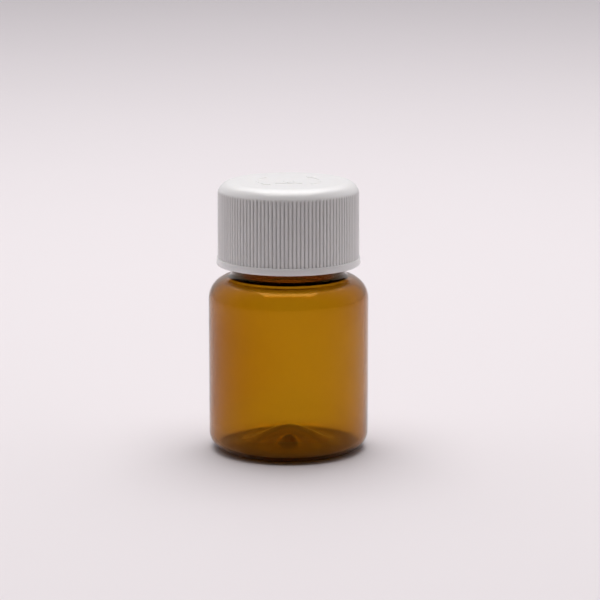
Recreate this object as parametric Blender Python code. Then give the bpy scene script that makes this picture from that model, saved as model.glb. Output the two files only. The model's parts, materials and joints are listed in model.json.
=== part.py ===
"""Prescription vial: amber bottle with a push-and-turn child-resistant closure.

Metres, +Z up. The origin is the centre of the base, on the surface that the bottle stands on.
"""

import math

import bmesh
import bpy

# Bottle
BODY_RADIUS = 0.0188
BOTTLE_HEIGHT = 0.0570
WALL = 0.0009
HEEL_RADIUS = 0.0042
FOOT_WIDTH = 0.0012
PUSH_UP_HEIGHT = 0.0032
GATE_THICKNESS = 0.0020
SHOULDER_RADIUS = 0.0054
SHOULDER_SHARE = 1.1
NECK_ROOT_FILLET = 0.0012
BORE_FLARE_HEIGHT = 0.0012
BORE_FLARE_DEGREES = 75

# Neck finish
NECK_HEIGHT = 0.0157
NECK_RADIUS = 0.0125
BORE_RADIUS = 0.01085
COLLAR_STEP = 0.0008
RIM_ROUND = 0.0003

# Thread, shared by the bottle and the inner cap
PITCH = 0.0254 / 6
THREAD_HEIGHT = 0.0012
THREAD_TURNS = 1.5
THREAD_DROP = 0.0019
CREST_WIDTH = 0.0009
CAP_CREST_WIDTH = 0.0007
FLANK_SLOPE = 0.62
THREAD_END_GAP = 0.0005
FADE_DEGREES = 30

# Closure
NECK_SHOWN = 0.00285
LINER_THICKNESS = 0.0009
DECK_THICKNESS = 0.0012
INNER_WALL = 0.00105
OUTER_WALL = 0.0009
OUTER_TOP_THICKNESS = 0.0013
CROWN_RADIUS = 0.00364
CROWN_EDGE_DEGREES = 25
CROWN_EDGE_HEIGHT = 0.0003
CROWN_STEP = 0.00014
CROWN_INSIDE_HEIGHT = 0.0016
RIB_COUNT = 112
RIB_DEPTH = 0.00035
LIP_HEIGHT = 0.0017
LIP_STEP = 0.0003
BEAD_HEIGHT = 0.0008
BEAD_CATCH = 0.0003

# Push-and-turn drive
TOOTH_COUNT = 12
TOOTH_INSET = 0.0028
TOOTH_DEGREES = 9
TOOTH_WIDTH = 0.0030
TOOTH_HEIGHT = 0.0011
LUG_HEIGHT = 0.0010
PUSH_CLEARANCE = 0.0006
FINGER_COUNT = 6
FINGER_DEGREES = 44
FINGER_THICKNESS = 0.0005
FINGER_WIDTH = 0.0019
SPRING_RING_WIDTH = 0.0014

# Clearances
GAP = 0.0003
THREAD_FLANK_GAP = 0.0004
BORE_GAP = 0.00025
CREST_GAP = 0.00035
SHELL_GAP = 0.00035
FINGER_SIDE_GAP = 0.0004
SPRING_SIDE_GAP = 0.0015

# Mesh fineness
BOTTLE_SIDES = 48
CAP_SIDES = 56
THREAD_STEPS_PER_TURN = 40
ARC_STEPS = 4
OVERLAP = 0.0002

# Heights, from the base up
SHOULDER_TOP = BOTTLE_HEIGHT - NECK_HEIGHT
LIP_BOTTOM = SHOULDER_TOP + NECK_SHOWN
LINER_BOTTOM = BOTTLE_HEIGHT + GAP
LINER_TOP = LINER_BOTTOM + LINER_THICKNESS
DECK_BOTTOM = LINER_TOP + GAP
DECK_TOP = DECK_BOTTOM + DECK_THICKNESS
TOOTH_TOP = DECK_TOP + TOOTH_HEIGHT
LUG_BOTTOM = TOOTH_TOP + PUSH_CLEARANCE
OUTER_UNDERSIDE = LUG_BOTTOM + LUG_HEIGHT
CAP_TOP = OUTER_UNDERSIDE + OUTER_TOP_THICKNESS
BEAD_TOP = LIP_BOTTOM + BEAD_HEIGHT + GAP
INNER_BOTTOM = BEAD_TOP + GAP

# Radii, from the neck outwards
COLLAR_RADIUS = NECK_RADIUS + COLLAR_STEP
THREAD_RADIUS = NECK_RADIUS + THREAD_HEIGHT
CAP_CREST_RADIUS = NECK_RADIUS + CREST_GAP
CAP_BORE_RADIUS = THREAD_RADIUS + BORE_GAP
INNER_RADIUS = CAP_BORE_RADIUS + INNER_WALL
SHELL_RADIUS = INNER_RADIUS + SHELL_GAP
RIB_ROOT_RADIUS = SHELL_RADIUS + OUTER_WALL
RIB_TIP_RADIUS = RIB_ROOT_RADIUS + RIB_DEPTH
CROWN_EDGE_RADIUS = RIB_TIP_RADIUS - CROWN_STEP
LIP_RADIUS = RIB_TIP_RADIUS + LIP_STEP
LINER_RADIUS = CAP_BORE_RADIUS - GAP
BEAD_RADIUS = INNER_RADIUS - BEAD_CATCH
TOOTH_OUTER_RADIUS = RIB_ROOT_RADIUS - TOOTH_INSET
TOOTH_INNER_RADIUS = TOOTH_OUTER_RADIUS - TOOTH_WIDTH
FINGER_OUTER_RADIUS = TOOTH_INNER_RADIUS - SPRING_SIDE_GAP
FINGER_INNER_RADIUS = FINGER_OUTER_RADIUS - FINGER_WIDTH
SPRING_RING_RADIUS = FINGER_INNER_RADIUS - FINGER_SIDE_GAP

# Thread places: the cap's ridge lies under the bottle's, a flank gap away
THREAD_TOP = BOTTLE_HEIGHT - THREAD_DROP
THREAD_BOTTOM = THREAD_TOP - THREAD_TURNS * PITCH
RIDGE_REACH = CREST_WIDTH / 2 + FLANK_SLOPE * THREAD_HEIGHT
CAP_RIDGE_HEIGHT = CAP_BORE_RADIUS - CAP_CREST_RADIUS
CAP_RIDGE_REACH = CAP_CREST_WIDTH / 2 + FLANK_SLOPE * CAP_RIDGE_HEIGHT
COLLAR_TOP = THREAD_BOTTOM - RIDGE_REACH - THREAD_END_GAP
FLANK_OVERLAP = FLANK_SLOPE * (THREAD_RADIUS - CAP_CREST_RADIUS)
THREAD_OFFSET = (CREST_WIDTH + CAP_CREST_WIDTH) / 2 + FLANK_OVERLAP + THREAD_FLANK_GAP
CAP_THREAD_TOP = THREAD_TOP - THREAD_OFFSET
CAP_THREAD_FLOOR = max(COLLAR_TOP + THREAD_END_GAP, INNER_BOTTOM + INNER_WALL / 2)
CAP_THREAD_BOTTOM = CAP_THREAD_FLOOR + CAP_RIDGE_REACH


def clear_scene():
    for thing in list(bpy.data.objects):
        bpy.data.objects.remove(thing)


def plastic(name, colour, roughness, transmission=0.0):
    material = bpy.data.materials.new(name)
    material.use_nodes = True
    shader = material.node_tree.nodes["Principled BSDF"]
    shader.inputs["Base Color"].default_value = (*colour, 1)
    shader.inputs["Roughness"].default_value = roughness
    shader.inputs["Metallic"].default_value = 0
    shader.inputs["Transmission Weight"].default_value = transmission
    material.diffuse_color = (*colour, 1)
    return material


def add_object(name, bm, pivot=(0, 0, 0)):
    """Turn a bmesh in world coordinates into an object whose origin is at the pivot."""
    bmesh.ops.recalc_face_normals(bm, faces=bm.faces)
    bmesh.ops.translate(bm, verts=bm.verts, vec=[-value for value in pivot])
    mesh = bpy.data.meshes.new(name)
    bm.to_mesh(mesh)
    bm.free()
    thing = bpy.data.objects.new(name, mesh)
    thing.location = pivot
    bpy.context.scene.collection.objects.link(thing)
    return thing


def finish(thing, material):
    thing.data.shade_smooth()
    thing.data.set_sharp_from_angle(angle=math.radians(35))
    thing.data.materials.append(material)


def arc(centre_r, centre_z, radius, start, end, rise=None):
    """Profile points along an arc from start to end degrees, where 0 points away from the axis."""
    rise = radius if rise is None else rise
    angles = [math.radians(start + (end - start) * step / ARC_STEPS) for step in range(ARC_STEPS + 1)]
    return [(centre_r + radius * math.cos(a), centre_z + rise * math.sin(a)) for a in angles]


def turned(profile, sides):
    """Spin a profile of (radius, height) points about Z; it ends on the axis or closes on itself."""
    bm = bmesh.new()
    points = [bm.verts.new((r, 0, z)) for r, z in profile]
    edges = [bm.edges.new(pair) for pair in zip(points, points[1:])]
    if profile[0][0] > 0 and profile[-1][0] > 0:
        edges.append(bm.edges.new((points[-1], points[0])))
    bmesh.ops.spin(bm, geom=points + edges, cent=(0, 0, 0), axis=(0, 0, 1),
                   angle=math.tau, steps=sides, use_merge=True)
    bmesh.ops.remove_doubles(bm, verts=bm.verts, dist=1e-6)
    return bm


def swept(bm, sections):
    """Add a closed solid that runs through outlines with the same number of points."""
    rings = [[bm.verts.new(point) for point in section] for section in sections]
    for ring, following in zip(rings, rings[1:]):
        for side in range(len(ring)):
            after = (side + 1) % len(ring)
            bm.faces.new((ring[side], ring[after], following[after], following[side]))
    bm.faces.new(rings[0])
    bm.faces.new(rings[-1])


def join(target, bm, name):
    """Union a bmesh into the target, with a hidden object that holds the added shape."""
    tool = add_object(name, bm, target.location)
    tool.hide_render = True
    tool.display_type = "WIRE"
    union = target.modifiers.new(name, "BOOLEAN")
    union.operation = "UNION"
    union.solver = "EXACT"
    union.object = tool


def add_ridge(bm, wall_radius, crest_radius, crest_width, bottom, top, zero_height):
    """Add a helical ridge on a wall, given by its centre line's heights; it fades out at both ends.

    Its centre line stands at angle 0 where it crosses zero_height.
    """
    turns = (top - bottom) / PITCH
    steps = math.ceil(turns * THREAD_STEPS_PER_TURN)
    height = abs(crest_radius - wall_radius)
    outward = math.copysign(1, crest_radius - wall_radius)
    root = wall_radius - outward * OVERLAP
    half_crest = crest_width / 2
    half_root = half_crest + FLANK_SLOPE * (height + OVERLAP)
    sections = []
    for step in range(steps + 1):
        turn = turns * step / steps
        fade = min(1, turn * 360 / FADE_DEGREES, (turns - turn) * 360 / FADE_DEGREES)
        crest = wall_radius + outward * (height * fade - OVERLAP / 2 * (1 - fade))
        centre = bottom + turn * PITCH
        angle = math.tau * (centre - zero_height) / PITCH
        outline = [(root, -half_root), (crest, -half_crest), (crest, half_crest), (root, half_root)]
        sections.append([(r * math.cos(angle), r * math.sin(angle), centre + z) for r, z in outline])
    swept(bm, sections)


def add_sector(bm, inner, outer, start, end, heights, steps=3):
    """Add a curved bar between two radii and two angles in degrees.

    heights holds its bottom and top at the start, then its bottom and top at the end.
    """
    sections = []
    for step in range(steps + 1):
        share = step / steps
        angle = math.radians(start + (end - start) * share)
        bottom = heights[0] + (heights[2] - heights[0]) * share
        top = heights[1] + (heights[3] - heights[1]) * share
        outline = [(inner, bottom), (outer, bottom), (outer, top), (inner, top)]
        sections.append([(r * math.cos(angle), r * math.sin(angle), z) for r, z in outline])
    swept(bm, sections)


def bell(foot_z, height, radius):
    """Profile points of the push-up in the base, from the axis down to its foot."""
    steps = 2 * ARC_STEPS
    shares = [step / steps for step in range(steps + 1)]
    return [(radius * s, foot_z + height * (1 + math.cos(math.pi * s)) / 2) for s in shares]


def flare(end):
    """Profile points where the bore widens, from its wall down to a point under the shoulder."""
    corner_z = end[1] + (end[0] - BORE_RADIUS) / math.tan(math.radians(BORE_FLARE_DEGREES))
    points = []
    for step in range(ARC_STEPS):
        share = step / ARC_STEPS
        radius = BORE_RADIUS + (end[0] - BORE_RADIUS) * share ** 2
        z = (corner_z + BORE_FLARE_HEIGHT) * (1 - share) ** 2 + 2 * corner_z * share * (1 - share)
        points.append((radius, z + end[1] * share ** 2))
    return points


def make_bottle():
    shoulder = min(SHOULDER_RADIUS, SHOULDER_SHARE * (BODY_RADIUS - COLLAR_RADIUS))
    shoulder_r = BODY_RADIUS - shoulder
    shoulder_z = SHOULDER_TOP - shoulder
    heel_r = BODY_RADIUS - HEEL_RADIUS
    foot = heel_r - FOOT_WIDTH
    root_r = COLLAR_RADIUS + NECK_ROOT_FILLET
    root_rise = math.sqrt((shoulder + NECK_ROOT_FILLET) ** 2 - (root_r - shoulder_r) ** 2)
    meeting = math.degrees(math.atan2(root_rise, root_r - shoulder_r))
    outside = bell(0, PUSH_UP_HEIGHT, foot)
    outside += arc(heel_r, HEEL_RADIUS, HEEL_RADIUS, -90, 0)
    outside += arc(shoulder_r, shoulder_z, shoulder, 0, meeting)
    outside += arc(root_r, shoulder_z + root_rise, NECK_ROOT_FILLET, meeting - 180, -180)[1:]
    outside += [(COLLAR_RADIUS, COLLAR_TOP - COLLAR_STEP), (NECK_RADIUS, COLLAR_TOP)]
    outside += arc(NECK_RADIUS - RIM_ROUND, BOTTLE_HEIGHT - RIM_ROUND, RIM_ROUND, 0, 90)
    under_shoulder = arc(shoulder_r, shoulder_z, shoulder - WALL, BORE_FLARE_DEGREES, 0)
    inside = [(BORE_RADIUS, BOTTLE_HEIGHT)] + flare(under_shoulder[0]) + under_shoulder
    inside += arc(heel_r, HEEL_RADIUS, HEEL_RADIUS - WALL, 0, -90)
    inside += reversed(bell(WALL, PUSH_UP_HEIGHT + GATE_THICKNESS - WALL, foot))
    bottle = add_object("bottle", turned(outside + inside, BOTTLE_SIDES))
    thread = bmesh.new()
    add_ridge(thread, NECK_RADIUS, THREAD_RADIUS, CREST_WIDTH, THREAD_BOTTOM, THREAD_TOP, THREAD_BOTTOM)
    join(bottle, thread, "bottle_thread")
    finish(bottle, plastic("amber_pet", (0.36, 0.13, 0.008), 0.12, transmission=0.9))
    return bottle


def make_liner():
    profile = [(0, LINER_TOP), (LINER_RADIUS, LINER_TOP), (LINER_RADIUS, LINER_BOTTOM), (0, LINER_BOTTOM)]
    liner = add_object("liner", turned(profile, CAP_SIDES))
    finish(liner, plastic("foam_wad", (0.82, 0.81, 0.77), 0.8))
    return liner


def make_inner_cap():
    ease = INNER_WALL / 2
    profile = [(0, DECK_TOP), (INNER_RADIUS - ease, DECK_TOP), (INNER_RADIUS, DECK_TOP - ease)]
    profile += [(INNER_RADIUS, INNER_BOTTOM), (CAP_BORE_RADIUS + ease, INNER_BOTTOM)]
    profile += [(CAP_BORE_RADIUS, INNER_BOTTOM + ease), (CAP_BORE_RADIUS, DECK_BOTTOM), (0, DECK_BOTTOM)]
    inner_cap = add_object("inner_cap", turned(profile, CAP_SIDES))
    thread = bmesh.new()
    add_ridge(thread, CAP_BORE_RADIUS, CAP_CREST_RADIUS, CAP_CREST_WIDTH,
              CAP_THREAD_BOTTOM, CAP_THREAD_TOP, THREAD_BOTTOM - THREAD_OFFSET)
    join(inner_cap, thread, "cap_thread")
    teeth = bmesh.new()
    sunk = DECK_TOP - OVERLAP
    low = DECK_TOP + TOOTH_HEIGHT / 3
    for index in range(TOOTH_COUNT):
        start = 360 * index / TOOTH_COUNT
        heights = (sunk, low, sunk, TOOTH_TOP)
        add_sector(teeth, TOOTH_INNER_RADIUS, TOOTH_OUTER_RADIUS, start, start + TOOTH_DEGREES, heights)
    join(inner_cap, teeth, "deck_teeth")
    finish(inner_cap, plastic("natural_polypropylene", (0.78, 0.79, 0.78), 0.4))
    return inner_cap


def make_spring_ring():
    bottom = DECK_TOP + GAP
    flat_top = bottom + FINGER_THICKNESS
    tip_top = OUTER_UNDERSIDE - GAP
    ring_inner = SPRING_RING_RADIUS - SPRING_RING_WIDTH
    profile = [(SPRING_RING_RADIUS, flat_top), (SPRING_RING_RADIUS, bottom)]
    profile += [(ring_inner, bottom), (ring_inner, flat_top)]
    spring_ring = add_object("spring_ring", turned(profile, CAP_SIDES))
    bridges = bmesh.new()
    fingers = bmesh.new()
    root_degrees = FINGER_DEGREES / 5
    for index in range(FINGER_COUNT):
        start = 360 * index / FINGER_COUNT
        flat = (bottom, flat_top, bottom, flat_top)
        rising = (bottom, flat_top, tip_top - FINGER_THICKNESS, tip_top)
        bridge_inner = SPRING_RING_RADIUS - SPRING_RING_WIDTH / 2
        add_sector(bridges, bridge_inner, FINGER_OUTER_RADIUS, start, start + root_degrees, flat)
        add_sector(fingers, FINGER_INNER_RADIUS, FINGER_OUTER_RADIUS,
                   start + root_degrees / 2, start + FINGER_DEGREES, rising, steps=6)
    join(spring_ring, bridges, "finger_roots")
    join(spring_ring, fingers, "fingers")
    finish(spring_ring, plastic("spring_polypropylene", (0.72, 0.73, 0.72), 0.45))
    return spring_ring


def rib_sleeve(bottom, top):
    """A ring whose outside is the ribbed grip and whose inside is sunk in the shell's wall."""
    bm = bmesh.new()
    grip = []
    for index in range(2 * RIB_COUNT):
        angle = math.pi * index / RIB_COUNT
        radius = RIB_ROOT_RADIUS if index % 2 else RIB_TIP_RADIUS
        grip.append(bm.verts.new((radius * math.cos(angle), radius * math.sin(angle), bottom)))
    bore_radius = RIB_ROOT_RADIUS - 2 * OVERLAP
    angles = [math.tau * index / CAP_SIDES for index in range(CAP_SIDES)]
    bore = [bm.verts.new((bore_radius * math.cos(a), bore_radius * math.sin(a), bottom)) for a in angles]
    edges = []
    for loop in (grip, bore):
        edges += [bm.edges.new(pair) for pair in zip(loop, loop[1:] + loop[:1])]
    floor = bmesh.ops.triangle_fill(bm, edges=edges, use_beauty=True)
    faces = [face for face in floor["geom"] if isinstance(face, bmesh.types.BMFace)]
    raised = bmesh.ops.extrude_face_region(bm, geom=faces, use_keep_orig=True)
    verts = [vert for vert in raised["geom"] if isinstance(vert, bmesh.types.BMVert)]
    bmesh.ops.translate(bm, verts=verts, vec=(0, 0, top - bottom))
    return bm


def make_outer_cap():
    crown_r = CROWN_EDGE_RADIUS - CROWN_RADIUS * math.cos(math.radians(CROWN_EDGE_DEGREES))
    crown = arc(crown_r, CAP_TOP - CROWN_RADIUS, CROWN_RADIUS, 90, CROWN_EDGE_DEGREES)
    edge_z = crown[-1][1] - CROWN_EDGE_HEIGHT
    lip_top = LIP_BOTTOM + LIP_HEIGHT
    under_ribs = RIB_ROOT_RADIUS - OVERLAP
    inside_z = OUTER_UNDERSIDE - CROWN_INSIDE_HEIGHT
    profile = [(0, CAP_TOP)] + crown
    profile += [(CROWN_EDGE_RADIUS, edge_z), (under_ribs, edge_z), (under_ribs, lip_top)]
    profile += [(LIP_RADIUS, lip_top), (LIP_RADIUS, LIP_BOTTOM), (SHELL_RADIUS, LIP_BOTTOM)]
    profile += [(SHELL_RADIUS, LIP_BOTTOM + GAP), (BEAD_RADIUS, BEAD_TOP - BEAD_HEIGHT / 2)]
    profile += [(BEAD_RADIUS, BEAD_TOP), (SHELL_RADIUS, BEAD_TOP)]
    profile += arc(crown_r, inside_z, SHELL_RADIUS - crown_r, 0, 90, rise=CROWN_INSIDE_HEIGHT)
    profile += [(0, OUTER_UNDERSIDE)]
    outer_cap = add_object("outer_cap", turned(profile, CAP_SIDES))
    join(outer_cap, rib_sleeve(lip_top - OVERLAP, edge_z + OVERLAP), "grip_ribs")
    lugs = bmesh.new()
    sunk = OUTER_UNDERSIDE + OVERLAP
    high = OUTER_UNDERSIDE - LUG_HEIGHT / 3
    for index in range(TOOTH_COUNT):
        start = 360 * (index + 0.5) / TOOTH_COUNT
        heights = (LUG_BOTTOM, sunk, high, sunk)
        add_sector(lugs, TOOTH_INNER_RADIUS, TOOTH_OUTER_RADIUS, start, start + TOOTH_DEGREES, heights)
    join(outer_cap, lugs, "drive_lugs")
    finish(outer_cap, plastic("white_polypropylene", (0.85, 0.85, 0.85), 0.42))
    return outer_cap


clear_scene()
make_bottle()
make_liner()
make_inner_cap()
make_spring_ring()
make_outer_cap()
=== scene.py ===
"""Amber prescription vial with a push-and-turn closure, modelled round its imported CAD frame."""

import json
import math

import bpy
import numpy as np
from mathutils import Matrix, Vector


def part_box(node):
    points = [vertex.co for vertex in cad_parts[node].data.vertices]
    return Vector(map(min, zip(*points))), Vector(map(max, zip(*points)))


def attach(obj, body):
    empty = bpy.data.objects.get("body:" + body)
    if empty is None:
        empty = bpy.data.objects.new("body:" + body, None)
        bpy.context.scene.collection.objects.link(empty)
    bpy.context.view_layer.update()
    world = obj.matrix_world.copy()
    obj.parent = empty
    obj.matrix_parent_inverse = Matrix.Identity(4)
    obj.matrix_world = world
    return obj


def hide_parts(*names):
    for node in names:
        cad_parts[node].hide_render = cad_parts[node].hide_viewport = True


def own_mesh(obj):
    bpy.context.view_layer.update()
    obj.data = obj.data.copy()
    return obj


bl_info = {
    "name": "Prescription Vial",
    "version": (1, 0, 0),
    "blender": (4, 5, 0),
    "location": "View3D > Sidebar > Vial",
    "description": "Models an amber vial with a ribbed push-and-turn closure, in a pale studio",
    "category": "Object",
}

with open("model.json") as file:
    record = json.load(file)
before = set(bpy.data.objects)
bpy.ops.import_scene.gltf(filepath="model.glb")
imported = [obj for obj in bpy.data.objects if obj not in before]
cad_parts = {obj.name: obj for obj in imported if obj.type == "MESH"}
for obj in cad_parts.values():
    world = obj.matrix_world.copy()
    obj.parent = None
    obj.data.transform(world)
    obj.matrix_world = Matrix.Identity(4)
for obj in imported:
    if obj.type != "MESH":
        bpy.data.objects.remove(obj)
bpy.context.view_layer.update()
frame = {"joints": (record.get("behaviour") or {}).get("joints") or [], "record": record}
BOTTLE_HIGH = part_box("bottle")[1]
LINER_LOW, LINER_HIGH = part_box("liner")
INNER_LOW, INNER_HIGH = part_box("inner_cap")
SPRING_LOW, SPRING_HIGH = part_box("spring_ring")
OUTER_LOW, OUTER_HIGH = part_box("outer_cap")
PITCH = math.tau / frame["record"]["behaviour"]["couplings"][0]["ratio"]
PUSH_TRAVEL = next(joint["range_m"][1] for joint in frame["joints"] if joint["name"] == "push_down")

MERGE = 1e-7  # points that are closer than this are one point
NEAR = 1e-6  # radii and heights that are closer than this are the same
SEAM = 2e-6  # widest seam that is closed between parts of one skin
SINK = 0.0002  # how deep a part sits in the one that it is fused with
THREAD_STEPS = 96  # steps in a turn of a thread
LINER_SIDES = 128
INNER_SIDES = 168
SPRING_SIDES = 144
RIB_FACETS = 6  # facets across a rib and its grooves


# Settings --------------------------------------------------------------------------------------


def length(name, description, default):
    return bpy.props.FloatProperty(
        name=name, description=description, default=default, min=0.0, unit="LENGTH", precision=5)


def angle(name, description, degrees):
    return bpy.props.FloatProperty(
        name=name, description=description, default=math.radians(degrees), subtype="ANGLE")


def colour(name, description, default):
    return bpy.props.FloatVectorProperty(
        name=name, description=description, default=default, min=0.0, max=1.0, subtype="COLOR")


def amount(name, description, default, most=1.0):
    return bpy.props.FloatProperty(name=name, description=description, default=default, min=0.0, max=most)


def count(name, description, default):
    return bpy.props.IntProperty(name=name, description=description, default=default, min=1)


class BottleSettings(bpy.types.PropertyGroup):
    """Sizes and colour of the blown bottle and its neck."""

    wall: length("Wall", "Thickness of the body's wall", 0.0009)
    heel_radius: length("Heel radius", "Rounding between the wall and the foot", 0.0042)
    foot_width: length("Foot width", "Width of the flat ring that the vial stands on", 0.0012)
    push_up: length("Push-up", "Height of the hollow under the base", 0.0032)
    gate_thickness: length("Gate thickness", "Thickness of the base at its middle", 0.0020)
    wall_drift: length("Wall drift", "How far the inside of the wall lies off the axis", 0.0001)
    shoulder_radius: length("Shoulder radius", "Rounding between the wall and the shoulder", 0.0054)
    neck_height: length("Neck height", "From the shoulder to the rim", 0.0157)
    neck_radius: length("Neck radius", "Outside radius of the neck under its thread", 0.0125)
    bore_radius: length("Bore radius", "Inside radius of the neck", 0.01085)
    collar_step: length("Collar step", "How far the collar stands out of the neck", 0.0008)
    root_fillet: length("Root fillet", "Rounding where the neck meets the shoulder", 0.0012)
    flare_height: length("Flare height", "Height over which the bore widens into the body", 0.0003)
    flare_angle: angle("Flare angle", "Where the bore's flare meets the rounding inside the shoulder", 75.0)
    rim_round: length("Rim rounding", "Rounding of the pouring rim", 0.0003)
    amber: colour("Amber", "Colour that the plastic takes on with depth", (0.849, 0.706, 0.021))
    amber_density: amount("Amber density", "How fast the plastic takes up light, per metre", 3300.0, 1e5)
    amber_sheen: colour("Amber sheen", "Tint of what the plastic reflects", (1.0, 0.5, 0.05))
    sides: count("Sides", "Facets round the bottle", 192)


class ThreadSettings(bpy.types.PropertyGroup):
    """Sizes of the screw thread on the neck and in the inner shell."""

    height: length("Height", "How far the neck's thread stands out", 0.0012)
    turns: amount("Turns", "How far the neck's thread runs round", 1.5, 4.0)
    drop: length("Drop", "From the rim down to the thread's upper end", 0.0019)
    crest: length("Crest", "Width of the neck thread's crest", 0.0009)
    cap_crest: length("Cap crest", "Width of the inner shell thread's crest", 0.0007)
    slope: amount("Flank slope", "How much a flank widens for its depth", 0.62)
    flank_gap: length("Flank gap", "Clearance between the two threads' flanks", 0.0004)
    crest_gap: length("Crest gap", "Clearance between the inner thread and the neck", 0.00035)
    end_gap: length("End gap", "Clearance past the ends of the threads", 0.0005)
    bore_gap: length("Bore gap", "Clearance between the neck's thread and the inner shell", 0.00025)
    fade: angle("Fade", "Turn over which a thread rises at either end", 30.0)


class ClosureSettings(bpy.types.PropertyGroup):
    """Sizes and colours of the liner and of the closure's two shells and spring."""

    rib_count: count("Ribs", "Number of grip ribs", 112)
    rib_depth: length("Rib depth", "How far the ribs stand out", 0.00035)
    rib_run: length("Rib run", "Height over which the ribs rise out of the crown", 0.0007)
    crown_radius: length("Crown radius", "Rounding of the top", 0.00364)
    crown_edge: angle("Crown edge", "How far the rounded top still faces up where it meets the ribs", 25.0)
    crown_inside: length("Crown inside", "Height of the rounding under the top", 0.0016)
    crown_step: length("Crown step", "How far the ribs stand out of the crown", 0.00014)
    draft: angle("Draft", "Lean of the skirt, which is narrower at the top", 0.35)
    lip_height: length("Lip height", "Height of the band under the ribs", 0.0017)
    lip_step: length("Lip step", "How far the lip stands out of the ribs", 0.0003)
    top_thickness: length("Top thickness", "Thickness of the outer shell's top", 0.0013)
    outer_wall: length("Outer wall", "Thickness of the outer shell's skirt", 0.0009)
    inner_wall: length("Inner wall", "Thickness of the inner shell's skirt", 0.00105)
    deck_thickness: length("Deck", "Thickness of the inner shell's top", 0.0012)
    bead_height: length("Bead height", "Height of the bead that keeps the shells together", 0.0008)
    bead_catch: length("Bead catch", "How far the bead reaches under the inner shell", 0.0003)
    tooth_inset: length("Tooth inset", "From the foot of the ribs in to the teeth", 0.0028)
    tooth_count: count("Teeth", "Number of driving teeth, and of the lugs between them", 12)
    tooth_angle: angle("Tooth length", "Turn that a tooth or lug takes up", 9.0)
    tooth_width: length("Tooth width", "Radial width of a tooth or lug", 0.0030)
    tooth_height: length("Tooth height", "How far a tooth stands up", 0.0011)
    lug_height: length("Lug height", "How far a lug hangs down", 0.0010)
    finger_count: count("Fingers", "Number of spring fingers", 6)
    finger_angle: angle("Finger length", "Turn that a spring finger takes up", 44.0)
    finger_width: length("Finger width", "Radial width of a spring finger", 0.0019)
    finger_thickness: length("Finger thickness", "Thickness of the spring ring", 0.0005)
    finger_gap: length("Finger gap", "Slit between the spring ring and its fingers", 0.0004)
    ring_width: length("Ring width", "Radial width of the spring ring", 0.0014)
    mark_height: length("Mark height", "How far the push-and-turn mark stands up", 0.00008)
    mark_line: length("Mark line", "Width of the mark's lines", 0.00055)
    mark_radius: length("Mark radius", "Radius of the mark's two arrows", 0.0074)
    white: colour("White", "Outer shell", (0.86, 0.85, 0.842))
    # painted shade: this darker grey stands in for the shade down between the ribs; it is not a colour of the
    # plastic
    groove: colour("Groove", "Outer shell between its ribs", (0.60, 0.59, 0.575))
    natural: colour("Natural", "Inner shell", (0.80, 0.81, 0.80))
    natural_shade: colour("Natural shade", "Cloudy places in the inner shell", (0.72, 0.735, 0.73))
    spring: colour("Spring", "Spring ring", (0.74, 0.75, 0.74))
    foam: colour("Foam", "Liner", (0.84, 0.83, 0.79))
    foam_shade: colour("Foam shade", "Pits of the liner's skin", (0.70, 0.69, 0.65))


class StudioSettings(bpy.types.PropertyGroup):
    """The floor, lights and camera."""

    floor: colour("Floor", "Pale floor", (0.785, 0.74, 0.757))
    floor_size: length("Floor size", "Width of the floor", 6.0)
    sky: colour("Surroundings", "Colour of the pale room", (0.80, 0.78, 0.80))
    dim: amount("Room in front", "Brightness of the room in front of the vial", 0.02)
    bright: amount("Room behind", "Brightness of the room behind the vial", 0.77)
    top_power: amount("Top light", "Power of the overhead soft light, in watts", 7.3, 1000.0)
    back_power: amount("Back light", "Power of the panel over the far floor, in watts", 5.0, 1000.0)
    lens: amount("Lens", "Focal length, in millimetres", 151.9, 1000.0)
    camera_distance: length("Camera distance", "In front of the vial's axis", 0.584)
    camera_height: length("Camera height", "Above the floor", 0.151)
    camera_pitch: angle("Camera pitch", "How far the camera looks down", 11.2)
    camera_yaw: angle("Camera yaw", "How far the camera looks past the vial", 0.265)


# Modelling steps -------------------------------------------------------------------------------


def arc(centre, radius, start, end, steps, rise=None):
    """Outline points round a centre, from start to end degrees; 0 points away from the axis."""
    rise = radius if rise is None else rise
    turns = [math.radians(start + (end - start) * step / steps) for step in range(steps + 1)]
    return [(centre[0] + radius * math.cos(t), centre[1] + rise * math.sin(t)) for t in turns]


def straight(start, end, steps):
    """Outline points between two others, which it leaves out."""
    shares = [step / steps for step in range(1, steps)]
    return [(start[0] + (end[0] - start[0]) * s, start[1] + (end[1] - start[1]) * s) for s in shares]


def curved(start, corner, end, steps):
    """Outline points along a curve that leaves start and reaches end in line with a corner."""
    start, corner, end = Vector(start), Vector(corner), Vector(end)
    shares = [step / steps for step in range(steps + 1)]
    return [tuple(start.lerp(corner, share).lerp(corner.lerp(end, share), share)) for share in shares]


def eased(outline, radius, steps=3):
    """An open outline with its inner corners rounded, over less than half of each side."""
    parts = 2.2
    points = [outline[0]]
    for before, corner, after in zip(outline, outline[1:], outline[2:]):
        corner = Vector(corner)
        back = Vector(before) - corner
        ahead = Vector(after) - corner
        reach = min(radius, back.length / parts, ahead.length / parts)
        start = corner + back.normalized() * reach
        end = corner + ahead.normalized() * reach
        points += curved(start, corner, end, steps)
    return points + [outline[-1]]


def upright(outline):
    """An outline of (radius, height) stood up at +X."""
    return [(radius, 0.0, height) for radius, height in outline]


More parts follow.
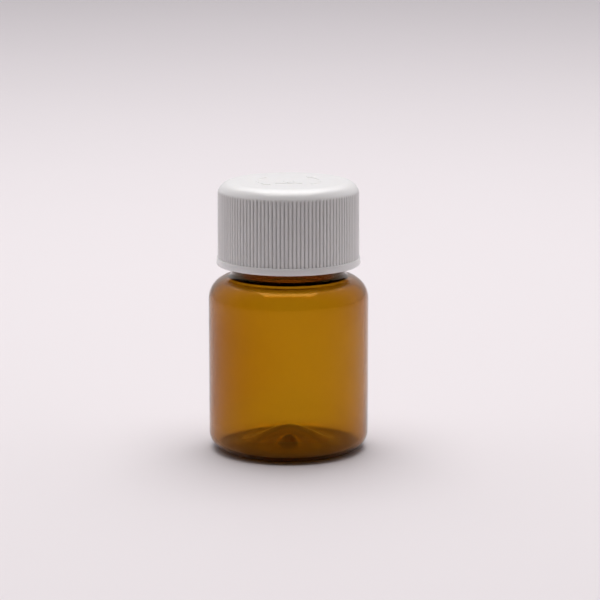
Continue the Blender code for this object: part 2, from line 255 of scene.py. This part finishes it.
def draw(name, points, closed=False):
    """Start a mesh as a line through points, extruded one after another, and stay in edit mode."""
    bpy.ops.object.select_all(action="DESELECT")
    bpy.ops.mesh.primitive_plane_add(size=0.001, location=(0, 0, 0))
    piece = bpy.context.object
    piece.name = name
    piece.data.name = name
    bpy.ops.object.mode_set(mode="EDIT")
    bpy.ops.mesh.select_all(action="SELECT")
    bpy.ops.mesh.merge(type="CENTER")
    bpy.ops.transform.translate(value=points[0])
    route = [*points, points[0]] if closed else points
    for before, after in zip(route, route[1:]):
        step = tuple(b - a for a, b in zip(before, after))
        bpy.ops.mesh.extrude_vertices_move(TRANSFORM_OT_translate={"value": step})
    bpy.ops.mesh.select_all(action="SELECT")
    bpy.ops.mesh.remove_doubles(threshold=MERGE)
    return piece


def close_up(threshold=MERGE):
    """Merge what meets in the mesh that is being edited, face it outwards and leave edit mode."""
    bpy.ops.mesh.select_all(action="SELECT")
    bpy.ops.mesh.remove_doubles(threshold=threshold)
    bpy.ops.mesh.normals_make_consistent(inside=False)
    bpy.ops.object.mode_set(mode="OBJECT")


def turned(name, outline, steps, closed=False):
    """A body of revolution of an outline of (radius, height) points."""
    piece = draw(name, upright(outline), closed)
    bpy.ops.mesh.spin(steps=steps, angle=math.tau, center=(0, 0, 0), axis=(0, 0, 1))
    close_up()
    return piece


def fill_ends():
    """Put a face on each open end of the mesh that is being edited."""
    bpy.ops.mesh.select_all(action="DESELECT")
    bpy.ops.mesh.select_non_manifold()
    bpy.ops.mesh.fill_holes(sides=0)


def sector(name, inner, outer, low, high, start, sweep, steps=4):
    """A curved bar between two radii and two heights, from one angle through a sweep."""
    corners = [(inner, low), (outer, low), (outer, high), (inner, high)]
    piece = draw(name, upright(corners), closed=True)
    bpy.ops.mesh.spin(steps=steps, angle=-sweep, center=(0, 0, 0), axis=(0, 0, 1))
    fill_ends()
    close_up()
    reshape(piece, lambda radius, turn, height: (radius, turn + start, height))
    return piece


def prism(name, corners, low, high):
    """An upright bar on a flat outline of (x, y) corners."""
    piece = draw(name, [(x, y, low) for x, y in corners], closed=True)
    bpy.ops.mesh.edge_face_add()
    bpy.ops.mesh.extrude_region_move(TRANSFORM_OT_translate={"value": (0, 0, high - low)})
    close_up()
    return piece


def reshape(piece, rule):
    """Move a piece's points by a rule on their radius, angle and height."""
    flat = np.zeros(len(piece.data.vertices) * 3)
    piece.data.vertices.foreach_get("co", flat)
    x, y, z = flat.reshape(-1, 3).T
    radius, turn, z = rule(np.hypot(x, y), np.arctan2(y, x), z)
    moved = np.stack([radius * np.cos(turn), radius * np.sin(turn), z], axis=1)
    piece.data.vertices.foreach_set("co", moved.ravel())
    piece.data.update()


def choose(*pieces):
    """Select these objects and make the first one active."""
    bpy.ops.object.select_all(action="DESELECT")
    for piece in pieces:
        piece.select_set(True)
    bpy.context.view_layer.objects.active = pieces[0]


def joined(name, pieces):
    """Join pieces into the first one, and rename it."""
    choose(*pieces)
    bpy.ops.object.join()
    pieces[0].name = name
    pieces[0].data.name = name
    return pieces[0]


def repeated(piece, number, threshold=0.0):
    """Copy a piece round the axis, and merge neighbours that come within the threshold."""
    bpy.ops.object.select_all(action="DESELECT")
    bpy.ops.object.empty_add(location=(0, 0, 0), rotation=(0, 0, math.tau / number))
    turn = bpy.context.object
    merging = threshold > 0
    choose(piece)
    bpy.ops.object.modifier_add(type="ARRAY")
    array = piece.modifiers[-1]
    array.count = number
    array.use_relative_offset = False
    array.use_object_offset = True
    array.offset_object = turn
    array.use_merge_vertices = merging
    array.use_merge_vertices_cap = merging
    array.merge_threshold = threshold
    bpy.ops.object.modifier_apply(modifier=array.name)
    bpy.data.objects.remove(turn)
    return piece


def fused(piece, part):
    """Unite a part with a piece, into one closed skin."""
    choose(piece)
    bpy.ops.object.modifier_add(type="BOOLEAN")
    union = piece.modifiers[-1]
    union.operation = "UNION"
    union.solver = "EXACT"
    union.object = part
    bpy.ops.object.modifier_apply(modifier=union.name)
    bpy.data.objects.remove(part)
    return piece


def gentle(share):
    """A share from 0 to 1 that leaves and reaches its ends gently."""
    share = np.clip(share, 0, 1)
    return share * share * (3 - 2 * share)


def ridge(name, wall, crest, crest_width, slope, bottom, top, start, fade):
    """A helical ridge on a wall, with ends that rise out of it; start is its angle at the bottom."""
    outward = math.copysign(1, crest - wall)
    sunk = wall - outward * SINK
    half_crest = crest_width / 2
    half_root = half_crest + slope * abs(crest - sunk)
    easing = 0.0002
    corners = [(sunk, -half_root), (wall, -half_crest - slope * abs(crest - wall)),
               (crest - outward * easing, -half_crest - slope * easing / 2), (crest, -half_crest + easing)]
    corners += [(radius, -height) for radius, height in reversed(corners)]
    piece = draw(name, upright(corners), closed=True)
    bpy.ops.object.mode_set(mode="OBJECT")
    turns = (top - bottom) / PITCH
    choose(piece)
    bpy.ops.object.modifier_add(type="SCREW")
    screw = piece.modifiers[-1]
    screw.angle = turns * math.tau
    screw.screw_offset = top - bottom
    screw.steps = math.ceil(turns * THREAD_STEPS)
    screw.render_steps = screw.steps
    bpy.ops.object.modifier_apply(modifier=screw.name)
    bpy.ops.object.mode_set(mode="EDIT")
    fill_ends()
    close_up()

    def rise(radius, turn, height):
        laps = np.round(height / PITCH - turn / math.tau)
        along = laps * math.tau + turn
        share = gentle(np.minimum(along, turns * math.tau - along) / fade)
        low = wall - outward * SINK / 2
        lifted = np.where((radius - wall) * outward > NEAR, low + (radius - low) * share, radius)
        return lifted, turn + start, height + bottom

    reshape(piece, rise)
    return piece


def smooth(piece, degrees=38):
    """Shade a piece smooth, but for edges that are sharper than this."""
    choose(piece)
    bpy.ops.object.shade_smooth_by_angle(angle=math.radians(degrees))


def dress(piece, material, body, node):
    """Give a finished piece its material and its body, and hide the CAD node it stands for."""
    piece.data.materials.clear()
    piece.data.materials.append(material)
    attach(piece, body)
    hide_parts(node)


# Finishes --------------------------------------------------------------------------------------


class Wire:
    """A shader socket that takes part in arithmetic; each operation adds a Math node."""

    def __init__(self, graph, socket):
        self.graph = graph
        self.socket = socket

    def maths(self, operation, first, second):
        return self.graph.node("ShaderNodeMath", {"operation": operation}, {0: first, 1: second})

    def __add__(self, other):
        return self.maths("ADD", self, other)

    def __radd__(self, other):
        return self.maths("ADD", other, self)

    def __mul__(self, other):
        return self.maths("MULTIPLY", self, other)

    def __rmul__(self, other):
        return self.maths("MULTIPLY", other, self)

    def __pow__(self, other):
        return self.maths("POWER", self, other)


class Graph:
    """A node tree that is built one node at a time."""

    def __init__(self, tree):
        self.tree = tree

    def node(self, kind, settings, inputs, output=0):
        """Add a node with its settings and its sockets' values or links; returns an output."""
        made = self.tree.nodes.new(kind)
        for name, value in settings.items():
            setattr(made, name, value)
        for name, value in inputs.items():
            self.feed(made.inputs[name], value)
        return Wire(self, made.outputs[output])

    def feed(self, socket, value):
        if isinstance(value, Wire):
            self.tree.links.new(value.socket, socket)
        else:
            socket.default_value = value

    def place(self):
        """The point on the piece, in the piece's own coordinates."""
        return self.node("ShaderNodeTexCoord", {}, {}, "Object")

    def axes(self, place):
        """The three coordinates of a point, apart."""
        first = self.node("ShaderNodeSeparateXYZ", {}, {"Vector": place})
        return [Wire(self, socket) for socket in first.socket.node.outputs]

    def noise(self, place, scale, detail=2.0, roughness=0.5):
        inputs = {"Vector": place, "Scale": scale, "Detail": detail, "Roughness": roughness}
        return self.node("ShaderNodeTexNoise", {}, inputs, "Fac")

    def stretch(self, place, scale):
        return self.node("ShaderNodeMapping", {}, {"Vector": place, "Scale": scale})

    def between(self, value, low, high):
        """0 at low and before, 1 at high and past it, and smooth between them."""
        inputs = {"Value": value, "From Min": low, "From Max": high}
        return self.node("ShaderNodeMapRange", {"interpolation_type": "SMOOTHSTEP"}, inputs, "Result")

    def blend(self, share, first, second):
        """A mix of two colours."""
        inputs = {0: share, 6: opaque(first), 7: opaque(second)}
        return self.node("ShaderNodeMix", {"data_type": "RGBA"}, inputs, 2)

    def bump(self, height, strength, distance):
        return self.node("ShaderNodeBump", {}, {"Height": height, "Strength": strength, "Distance": distance})


def opaque(value):
    """A plain colour with its alpha; a link stays as it is."""
    return value if isinstance(value, Wire) else (*value, 1.0)


def finish(name, build):
    """A material whose shader sockets take the values and links that build gives for its graph."""
    material = bpy.data.materials.new(name)
    material.use_nodes = True
    graph = Graph(material.node_tree)
    shader = material.node_tree.nodes["Principled BSDF"]
    for socket, value in build(graph).items():
        graph.feed(shader.inputs[socket], value)
    return material


def amber_pet(bottle):
    """Clear plastic whose colour deepens with the thickness that light passes."""

    def build(graph):
        place = graph.place()
        flow = graph.noise(graph.stretch(place, (1.0, 1.0, 0.2)), 130.0, 1.0)
        return {
            "Base Color": (1, 1, 1, 1),
            "Roughness": 0.02,
            "IOR": 1.57,
            "Transmission Weight": 1.0,
            "Specular Tint": opaque(bottle.amber_sheen),
            "Normal": graph.bump(flow, 0.3, 0.0002),
        }

    material = finish("amber_pet", build)
    tree = material.node_tree
    absorption = tree.nodes.new("ShaderNodeVolumeAbsorption")
    absorption.inputs["Color"].default_value = opaque(bottle.amber)
    absorption.inputs["Density"].default_value = bottle.amber_density
    tree.links.new(absorption.outputs["Volume"], tree.nodes["Material Output"].inputs["Volume"])
    return material


def white_polypropylene(closure):
    """Satin white moulded plastic, with painted shade greying it down between the ribs."""
    shape = shell_layout(closure)

    def build(graph):
        place = graph.place()
        x, y, z = graph.axes(place)
        radius = (x * x + y * y) ** 0.5
        # painted shade: sunk and skirt mask the grooves between the ribs, where the white is greyed as if
        # shaded
        sunk = graph.between(radius, shape["tip"], shape["tip"] - closure.rib_depth)
        skirt = graph.between(z, shape["rib_top"], shape["rib_top"] - closure.rib_run)
        mottle = graph.noise(place, 350.0, 3.0)
        grain = graph.noise(place, 5200.0, 3.0, 0.6)
        return {
            # the grooves' mask mixes in painted shade, and the mottle adds a little random tone
            "Base Color": graph.blend(sunk * skirt * 0.9 + mottle * 0.1, closure.white, closure.groove),
            "Roughness": 0.34 + mottle * 0.12,
            "Coat Weight": 0.7,
            "Coat Roughness": 0.16,
            "Subsurface Weight": 0.5,
            "Subsurface Radius": (1.0, 0.95, 0.9),
            "Subsurface Scale": 0.0012,
            "Normal": graph.bump(grain, 0.15, 0.00006),
        }

    return finish("white_polypropylene", build)


def natural_polypropylene(closure):
    """Uncoloured moulded plastic, milky and satin."""

    def build(graph):
        place = graph.place()
        cloud = graph.noise(place, 260.0, 3.0)
        grain = graph.noise(place, 4200.0, 2.0)
        return {
            "Base Color": graph.blend(cloud, closure.natural, closure.natural_shade),
            "Roughness": 0.34 + cloud * 0.16,
            "Subsurface Weight": 0.6,
            "Subsurface Radius": (1.0, 1.0, 1.0),
            "Subsurface Scale": 0.0020,
            "Normal": graph.bump(grain, 0.12, 0.00006),
        }

    return finish("natural_polypropylene", build)


def spring_polypropylene(closure):
    """Springy moulded plastic, faintly cloudy."""

    def build(graph):
        place = graph.place()
        cloud = graph.noise(place, 420.0, 3.0)
        return {
            "Base Color": graph.blend(cloud, closure.spring, closure.natural_shade),
            "Roughness": 0.42 + cloud * 0.14,
            "Subsurface Weight": 0.2,
            "Subsurface Scale": 0.0010,
            "Normal": graph.bump(cloud, 0.15, 0.0001),
        }

    return finish("spring_polypropylene", build)


def foam_wad(closure):
    """Closed-cell foam with a fine dimpled skin."""

    def build(graph):
        place = graph.place()
        cells = graph.node("ShaderNodeTexVoronoi", {}, {"Vector": place, "Scale": 2400.0}, "Distance")
        cloud = graph.noise(place, 500.0, 3.0)
        return {
            "Base Color": graph.blend(cells * 0.7 + cloud * 0.3, closure.foam, closure.foam_shade),
            "Roughness": 0.72 + cloud * 0.16,
            "Normal": graph.bump(cells, 0.5, 0.00008),
        }

    return finish("foam_wad", build)


def studio_floor(studio):
    """Matt pale board, with a faint tooth."""

    def build(graph):
        place = graph.place()
        tooth = graph.noise(place, 900.0, 4.0)
        cloud = graph.noise(place, 5.0, 2.0)
        darker = 0.985
        shade = [value * darker for value in studio.floor]
        return {
            "Base Color": graph.blend(cloud, studio.floor, shade),
            "Roughness": 0.62 + tooth * 0.1,
            "Specular IOR Level": 0.2,
            "Normal": graph.bump(tooth, 0.03, 0.0001),
        }

    return finish("studio_floor", build)


# Pieces ----------------------------------------------------------------------------------------


def bell(height, rise, foot, steps=18):
    """Outline of the hollow under the base, from the axis to its foot."""
    shares = [step / steps for step in range(steps + 1)]
    return [(foot * s, height + rise * (1 + math.cos(math.pi * s)) / 2) for s in shares]


def thread_layout(bottle, thread):
    """Heights and radii that the two threads share."""
    top = BOTTLE_HIGH.z - thread.drop
    bottom = top - thread.turns * PITCH
    reach = thread.crest / 2 + thread.slope * thread.height
    crest_radius = bottle.neck_radius + thread.height
    cap_crest = bottle.neck_radius + thread.crest_gap
    cap_bore = crest_radius + thread.bore_gap
    overlap = thread.slope * (crest_radius - cap_crest)
    return {
        "top": top,
        "bottom": bottom,
        "collar_top": bottom - reach - thread.end_gap,
        "crest_radius": crest_radius,
        "cap_crest": cap_crest,
        "cap_bore": cap_bore,
        "cap_reach": thread.cap_crest / 2 + thread.slope * (cap_bore - cap_crest),
        "offset": (thread.crest + thread.cap_crest) / 2 + overlap + thread.flank_gap,
    }


def bottle_outline(bottle, collar_top):
    """Outline of the blown wall, from the axis under the base, over the rim and back inside."""
    body = BOTTLE_HIGH.x
    rim = BOTTLE_HIGH.z
    wall = bottle.wall
    heel = (body - bottle.heel_radius, bottle.heel_radius)
    foot = heel[0] - bottle.foot_width
    collar = bottle.neck_radius + bottle.collar_step
    shoulder_top = rim - bottle.neck_height
    shoulder = (body - bottle.shoulder_radius, shoulder_top - bottle.shoulder_radius)
    root_across = collar + bottle.root_fillet - shoulder[0]
    root_rise = math.sqrt((bottle.shoulder_radius + bottle.root_fillet) ** 2 - root_across ** 2)
    root = (collar + bottle.root_fillet, shoulder[1] + root_rise)
    meeting = math.degrees(math.atan2(root_rise, root_across))
    outside = bell(0, bottle.push_up, foot)
    outside += arc(heel, bottle.heel_radius, -90, 0, 14)
    outside += straight((body, heel[1]), (body, shoulder[1]), 16)
    outside += arc(shoulder, bottle.shoulder_radius, 0, meeting, 18)
    outside += arc(root, bottle.root_fillet, meeting - 180, -180, 6)[1:]
    rim_centre = (bottle.neck_radius - bottle.rim_round, rim - bottle.rim_round)
    collar_ease = 0.0003
    step = [(collar, root[1]), (collar, collar_top - bottle.collar_step),
            (bottle.neck_radius, collar_top), (bottle.neck_radius, rim_centre[1])]
    outside += eased(step, collar_ease)[1:-1]
    outside += arc(rim_centre, bottle.rim_round, 0, 90, 6)
    under_shoulder = arc(shoulder, bottle.shoulder_radius - wall, math.degrees(bottle.flare_angle), 0, 16)
    flare_radius, flare_low = under_shoulder[0]
    corner = flare_low + (flare_radius - bottle.bore_radius) / math.tan(bottle.flare_angle)
    flare_top = (bottle.bore_radius, corner + bottle.flare_height)
    mouth_ease = 0.0005
    mouth = [(rim_centre[0], rim), (bottle.bore_radius, rim), flare_top]
    inside = eased(mouth, mouth_ease, 5)[1:-1]
    inside += curved(flare_top, (bottle.bore_radius, corner), under_shoulder[0], 8)[:-1]
    inside += under_shoulder
    inside += straight((body - wall, shoulder[1]), (body - wall, heel[1]), 16)
    inside += arc(heel, bottle.heel_radius - wall, 0, -90, 12)
    inside += reversed(bell(wall, bottle.push_up + bottle.gate_thickness - wall, foot))
    return outside + inside


class VIAL_OT_bottle(bpy.types.Operator):
    """Model the amber bottle: its blown body, neck, collar and thread"""

    bl_idname = "vial.bottle"
    bl_label = "Bottle"

    def execute(self, context):
        bottle = context.scene.vial_bottle
        thread = context.scene.vial_thread
        layout = thread_layout(bottle, thread)
        shell = turned("bottle_shell", bottle_outline(bottle, layout["collar_top"]), bottle.sides)
        self.drift(shell, bottle)
        screw = ridge("neck_thread", bottle.neck_radius, layout["crest_radius"], thread.crest,
                      thread.slope, layout["bottom"], layout["top"], 0.0, thread.fade)
        fused(shell, screw)
        smooth(shell)
        dress(shell, amber_pet(bottle), "bottle", "bottle")
        return {"FINISHED"}

    def drift(self, shell, bottle):
        """Let the wall be a little thicker on the -X side, as blown walls are."""
        low = bottle.heel_radius
        high = BOTTLE_HIGH.z - bottle.neck_height - bottle.shoulder_radius
        easing = (high - low) / 4

        def rule(radius, turn, height):
            share = gentle(np.minimum(height - low, high - height) / easing)
            share = share * (radius < BOTTLE_HIGH.x - bottle.wall / 2)
            return radius + bottle.wall_drift * share * np.cos(turn), turn, height

        reshape(shell, rule)


class VIAL_OT_liner(bpy.types.Operator):
    """Model the foam wad that seals the rim"""

    bl_idname = "vial.liner"
    bl_label = "Liner"

    def execute(self, context):
        closure = context.scene.vial_closure
        bottle = context.scene.vial_bottle
        rim = (bottle.neck_radius + bottle.bore_radius) / 2
        bite = 0.00012
        bite_half = 0.0008
        dent_half = 0.0012
        edge_ease = 0.00018
        low = LINER_LOW.z
        outline = [(0, LINER_HIGH.z), (LINER_HIGH.x, LINER_HIGH.z), (LINER_HIGH.x, low),
                   (rim + dent_half, low), (rim + bite_half, low + bite),
                   (rim - bite_half, low + bite), (rim - dent_half, low), (0, low)]
        disc = turned("liner_disc", eased(outline, edge_ease), LINER_SIDES)
        smooth(disc)
        dress(disc, foam_wad(closure), "liner", "liner")
        return {"FINISHED"}


def drive_blocks(name, closure, low, high, start, face, ramp):
    """A ring of driving blocks, each with the face at one height tilted by a ramp along its length."""
    outer = shell_layout(closure)["groove"] - closure.tooth_inset
    inner = outer - closure.tooth_width
    clearance = 0.00003
    block = sector(name, inner, outer - clearance, low, high, start, closure.tooth_angle)

    def slant(radius, turn, height):
        share = (turn - start) / closure.tooth_angle
        return radius, turn, height + np.where(np.abs(height - face) < NEAR, ramp(share), 0)

    reshape(block, slant)
    return repeated(block, closure.tooth_count)


class VIAL_OT_inner_cap(bpy.types.Operator):
    """Model the inner shell, with its thread and driving teeth"""

    bl_idname = "vial.inner_cap"
    bl_label = "Inner shell"

    def execute(self, context):
        closure = context.scene.vial_closure
        thread = context.scene.vial_thread
        bottle = context.scene.vial_bottle
        layout = thread_layout(bottle, thread)
        bore = layout["cap_bore"]
        deck_top = INNER_HIGH.z - closure.tooth_height
        deck_bottom = deck_top - closure.deck_thickness
        ease = closure.inner_wall / 2
        outline = [(0, deck_top), (INNER_HIGH.x - ease, deck_top), (INNER_HIGH.x, deck_top - ease),
                   (INNER_HIGH.x, INNER_LOW.z), (bore + ease, INNER_LOW.z), (bore, INNER_LOW.z + ease),
                   (bore, deck_bottom), (0, deck_bottom)]
        corner_ease = 0.00025
        shell = turned("inner_cap_shell", eased(outline, corner_ease, 4), INNER_SIDES)
        floor = max(layout["collar_top"] + thread.end_gap, INNER_LOW.z + ease)
        bottom = floor + layout["cap_reach"]
        start = math.tau * (bottom - (layout["bottom"] - layout["offset"])) / PITCH
        screw = ridge("inner_thread", bore, layout["cap_crest"], thread.cap_crest, thread.slope,
                      bottom, layout["top"] - layout["offset"], start, thread.fade)
        fused(shell, screw)
        tip = INNER_HIGH.z
        fused(shell, drive_blocks("teeth", closure, deck_top - SINK, tip, 0.0, tip,
                                  lambda share: closure.tooth_height * (share - 1) * 2 / 3))
        smooth(shell)
        dress(shell, natural_polypropylene(closure), "inner_cap", "inner_cap")
        return {"FINISHED"}


class VIAL_OT_spring_ring(bpy.types.Operator):
    """Model the ring of spring fingers between the two shells"""

    bl_idname = "vial.spring_ring"
    bl_label = "Spring ring"

    def execute(self, context):
        closure = context.scene.vial_closure
        low = SPRING_LOW.z
        flat = low + closure.finger_thickness
        finger_outer = SPRING_HIGH.x
        finger_inner = finger_outer - closure.finger_width
        ring_outer = finger_inner - closure.finger_gap
        ring_inner = ring_outer - closure.ring_width
        corners = [(ring_outer, low), (ring_outer, flat), (ring_inner, flat), (ring_inner, low)]
        ring = turned("spring_ring_fingers", corners, SPRING_SIDES, closed=True)
        root = closure.finger_angle / 5
        bridge_inner = ring_outer - closure.ring_width / 2
        bridge = sector("bridge", bridge_inner, finger_outer, low, flat, 0.0, root)
        fused(ring, repeated(bridge, closure.finger_count))
        start = root / 2
        sweep = closure.finger_angle - start
        finger = sector("finger", finger_inner, finger_outer, low, flat, start, sweep, 12)
        lift = SPRING_HIGH.z - flat

        def rise(radius, turn, height):
            return radius, turn, height + lift * np.clip((turn - start) / sweep, 0, 1)

        reshape(finger, rise)
        fused(ring, repeated(finger, closure.finger_count))
        smooth(ring)
        dress(ring, spring_polypropylene(closure), "spring_ring", "spring_ring")
        keep = 1 - PUSH_TRAVEL / (SPRING_HIGH.z - low)
        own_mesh(ring)
        return {"FINISHED"}


def shell_layout(closure):
    """Radii and heights that the parts of the outer shell share."""
    edge_round = 0.0003
    lip = OUTER_HIGH.x
    tip = lip - closure.lip_step
    groove = tip - closure.rib_depth
    edge = tip - closure.crown_step
    return {
        "tip": tip,
        "groove": groove,
        "wall": groove - closure.outer_wall,
        "edge": edge,
        "crown": (edge - closure.crown_radius * math.cos(closure.crown_edge),
                  OUTER_HIGH.z - closure.crown_radius),
        "rib_top": OUTER_HIGH.z - closure.crown_radius * (1 - math.sin(closure.crown_edge)),
        "lip_top": OUTER_LOW.z + closure.lip_height,
        "edge_round": edge_round,
        "lip_edge": lip - edge_round,
        "underside": OUTER_HIGH.z - closure.top_thickness,
    }


def grip_ribs(closure, shape):
    """The ribbed band: one rib between two half grooves, and its copies round the skirt."""
    edge = shape["edge"]
    top = shape["rib_top"]
    lip_top = shape["lip_top"]
    heights = [top - closure.rib_run * share for share in (0, 0.15, 0.35, 0.6, 1)]
    foot = 0.0001
    outline = [(edge, height) for height in (*heights, lip_top + foot, lip_top)]
    rib = draw("grip_ribs", upright([*outline, (shape["lip_edge"], lip_top)]))
    turn = math.tau / closure.rib_count
    bpy.ops.mesh.spin(steps=RIB_FACETS, angle=-turn, center=(0, 0, 0), axis=(0, 0, 1))
    close_up()

    def swell(radius, turn, height):
        share = np.clip(turn * closure.rib_count / math.tau, 0, 1)
        crest = np.sqrt(np.clip(np.sin(math.pi * share), 0, 1))
        run = np.sin(np.clip((top - height) / closure.rib_run, 0, 1) * math.pi / 2)
        stand = closure.crown_step - closure.rib_depth * (1 - crest)
        return np.where(radius < edge + MERGE, radius + stand * run, radius), turn, height

    reshape(rib, swell)
    return repeated(rib, closure.rib_count, SEAM)


def skirt_outline(closure, shape):
    """Outline of the skirt from the top of the lip, round its foot and the bead, to under the top."""
    lip = OUTER_HIGH.x
    low = OUTER_LOW.z
    wall = shape["wall"]
    edge_round = shape["edge_round"]
    top_round = 0.0002
    lead_in = 0.0003
    bead_gap = 0.0003
    catch_ease = 0.00015
    bead = INNER_HIGH.x - closure.bead_catch
    bead_top = INNER_LOW.z - bead_gap
    inside = (shape["crown"][0], shape["underside"] - closure.crown_inside)
    lip_side = arc((shape["lip_edge"], shape["lip_top"] - top_round), top_round, 90, 0, 3)
    lip_side += arc((shape["lip_edge"], low + edge_round), edge_round, 0, -90, 4)
    catch = [(shape["lip_edge"], low), (wall, low), (wall, low + lead_in),
             (bead, bead_top - closure.bead_height / 2), (bead, bead_top), (wall, bead_top),
             (wall, inside[1])]
    under_top = arc(inside, wall - inside[0], 0, 90, 8, rise=closure.crown_inside)
    return lip_side + eased(catch, catch_ease)[1:-1] + under_top


def turn_mark(closure, low, high):
    """A generic raised mark: two arrows going round a press-down arrow on a bar."""
    line = closure.mark_line
    radius = closure.mark_radius
    sweep = math.radians(88)
    barb = 1.9
    point = 3.4
    stem = radius * 0.42
    head = line * 2.4
    tip = -stem / 2 - head * 1.2
    mark = prism("mark", [(-line / 2, -stem / 2 - line), (line / 2, -stem / 2 - line),
                          (line / 2, stem), (-line / 2, stem)], low, high)
    fused(mark, prism("mark_head", [(-head, -stem / 2), (0, tip), (head, -stem / 2)], low, high))
    bar = tip - line * 1.5
    fused(mark, prism("mark_bar", [(-stem, bar - line / 2), (stem, bar - line / 2),
                                   (stem, bar + line / 2), (-stem, bar + line / 2)], low, high))
    for middle in (0.0, math.pi):
        start = middle - sweep / 2
        end = middle + sweep / 2
        fused(mark, sector("mark_arc", radius - line / 2, radius + line / 2, low, high, start, sweep, 24))
        across = Vector((math.cos(end), math.sin(end)))
        ahead = Vector((-across.y, across.x))
        foot = across * radius - ahead * line / 4
        corners = (foot + across * line * barb, foot + ahead * line * point, foot - across * line * barb)
        fused(mark, prism("mark_tip", [tuple(corner) for corner in corners], low, high))
    return mark


class VIAL_OT_outer_cap(bpy.types.Operator):
    """Model the outer shell, with its grip ribs, lip, catch bead, driving lugs and raised mark"""

    bl_idname = "vial.outer_cap"
    bl_label = "Outer shell"

    def execute(self, context):
        closure = context.scene.vial_closure
        shape = shell_layout(closure)
        steps = closure.rib_count * RIB_FACETS
        rounding = arc(shape["crown"], closure.crown_radius, 90, math.degrees(closure.crown_edge), 12)
        band = grip_ribs(closure, shape)
        top = turned("crown", [(0, OUTER_HIGH.z), *rounding], steps)
        skirt = turned("skirt", skirt_outline(closure, shape), steps)
        cap = joined("outer_cap_shell", [band, top, skirt])

        def lean(radius, turn, height):
            share = np.clip((radius - shape["wall"]) / closure.outer_wall, 0, 1)
            above = np.maximum(height - shape["lip_top"], 0)
            return radius - share * math.tan(closure.draft) * above, turn, height

        reshape(cap, lean)
        bpy.ops.object.mode_set(mode="EDIT")
        bpy.ops.mesh.select_all(action="SELECT")
        bpy.ops.mesh.remove_doubles(threshold=SEAM)
        fill_ends()
        close_up()
        underside = shape["underside"]
        tip = underside - closure.lug_height
        fused(cap, drive_blocks("lugs", closure, tip, underside + SINK, math.pi / closure.tooth_count, tip,
                                lambda share: closure.lug_height * share * 2 / 3))
        fused(cap, turn_mark(closure, OUTER_HIGH.z - SINK, OUTER_HIGH.z + closure.mark_height))
        smooth(cap, degrees=33)
        dress(cap, white_polypropylene(closure), "outer_cap", "outer_cap")
        return {"FINISHED"}


def soft_light(name, place, size, power, tint):
    """A soft light with a rectangular face that looks straight down."""
    bpy.ops.object.select_all(action="DESELECT")
    bpy.ops.object.light_add(type="AREA", location=place)
    light = bpy.context.object
    light.name = name
    light.data.shape = "RECTANGLE"
    light.data.size, light.data.size_y = size
    light.data.energy = power
    light.data.color = tint


class VIAL_OT_studio(bpy.types.Operator):
    """Lay the pale floor, set the soft lights and place the camera"""

    bl_idname = "vial.studio"
    bl_label = "Studio"

    def execute(self, context):
        studio = context.scene.vial_studio
        bpy.ops.object.select_all(action="DESELECT")
        bpy.ops.mesh.primitive_plane_add(size=studio.floor_size, location=(0, 0, 0))
        floor = bpy.context.object
        floor.name = "studio_floor"
        floor.data.materials.append(studio_floor(studio))
        self.surround(context, studio)
        warm = (1, 0.985, 0.98)
        cool = (0.98, 0.97, 1)
        soft_light("top_light", (0, 0.14, 0.95), (0.8, 0.8), studio.top_power, warm)
        soft_light("back_light", (0, 1.1, 1.2), (1.8, 0.9), studio.back_power, cool)
        self.camera(context, studio)
        context.scene.view_settings.view_transform = "Standard"
        return {"FINISHED"}

    def surround(self, context, studio):
        """A pale room that is bright behind and beside the vial and dim in front of it."""
        world = bpy.data.worlds.new("studio_room")
        world.use_nodes = True
        context.scene.world = world
        graph = Graph(world.node_tree)
        direction = graph.node("ShaderNodeTexCoord", {}, {}, "Generated")
        depth = graph.axes(direction)[1]
        behind = graph.between(depth, -0.7, 0.4)
        background = world.node_tree.nodes["Background"]
        graph.feed(background.inputs["Color"], opaque(studio.sky))
        graph.feed(background.inputs["Strength"], studio.dim + behind * (studio.bright - studio.dim))

    def camera(self, context, studio):
        bpy.ops.object.select_all(action="DESELECT")
        place = (0, -studio.camera_distance, studio.camera_height)
        turn = (math.pi / 2 - studio.camera_pitch, 0, -studio.camera_yaw)
        bpy.ops.object.camera_add(location=place, rotation=turn)
        camera = bpy.context.object
        camera.name = "studio_camera"
        camera.data.lens = studio.lens
        camera.data.sensor_width = 36.0
        camera.data.clip_start = 0.01
        context.scene.camera = camera


# Add-on ----------------------------------------------------------------------------------------

STEPS = (
    VIAL_OT_bottle,
    VIAL_OT_liner,
    VIAL_OT_inner_cap,
    VIAL_OT_spring_ring,
    VIAL_OT_outer_cap,
    VIAL_OT_studio,
)
GROUPS = {
    "vial_bottle": BottleSettings,
    "vial_thread": ThreadSettings,
    "vial_closure": ClosureSettings,
    "vial_studio": StudioSettings,
}


class VIAL_PT_sidebar(bpy.types.Panel):
    """Lists the vial's pieces and settings"""

    bl_idname = "VIAL_PT_sidebar"
    bl_label = "Prescription Vial"
    bl_space_type = "VIEW_3D"
    bl_region_type = "UI"
    bl_category = "Vial"

    def draw(self, context):
        for step in STEPS:
            self.layout.operator(step.bl_idname)
        for name, group in GROUPS.items():
            box = self.layout.box()
            box.label(text=group.__name__.replace("Settings", ""))
            settings = getattr(context.scene, name)
            for setting in group.__annotations__:
                box.prop(settings, setting)


CLASSES = (*GROUPS.values(), *STEPS, VIAL_PT_sidebar)


def register():
    for cls in CLASSES:
        bpy.utils.register_class(cls)
    for name, group in GROUPS.items():
        setattr(bpy.types.Scene, name, bpy.props.PointerProperty(type=group))


def unregister():
    for name in GROUPS:
        delattr(bpy.types.Scene, name)
    for cls in reversed(CLASSES):
        bpy.utils.unregister_class(cls)


def main():
    register()
    bpy.ops.vial.bottle()
    bpy.ops.vial.liner()
    bpy.ops.vial.inner_cap()
    bpy.ops.vial.spring_ring()
    bpy.ops.vial.outer_cap()
    bpy.ops.vial.studio()


if __name__ == "__main__":
    main()
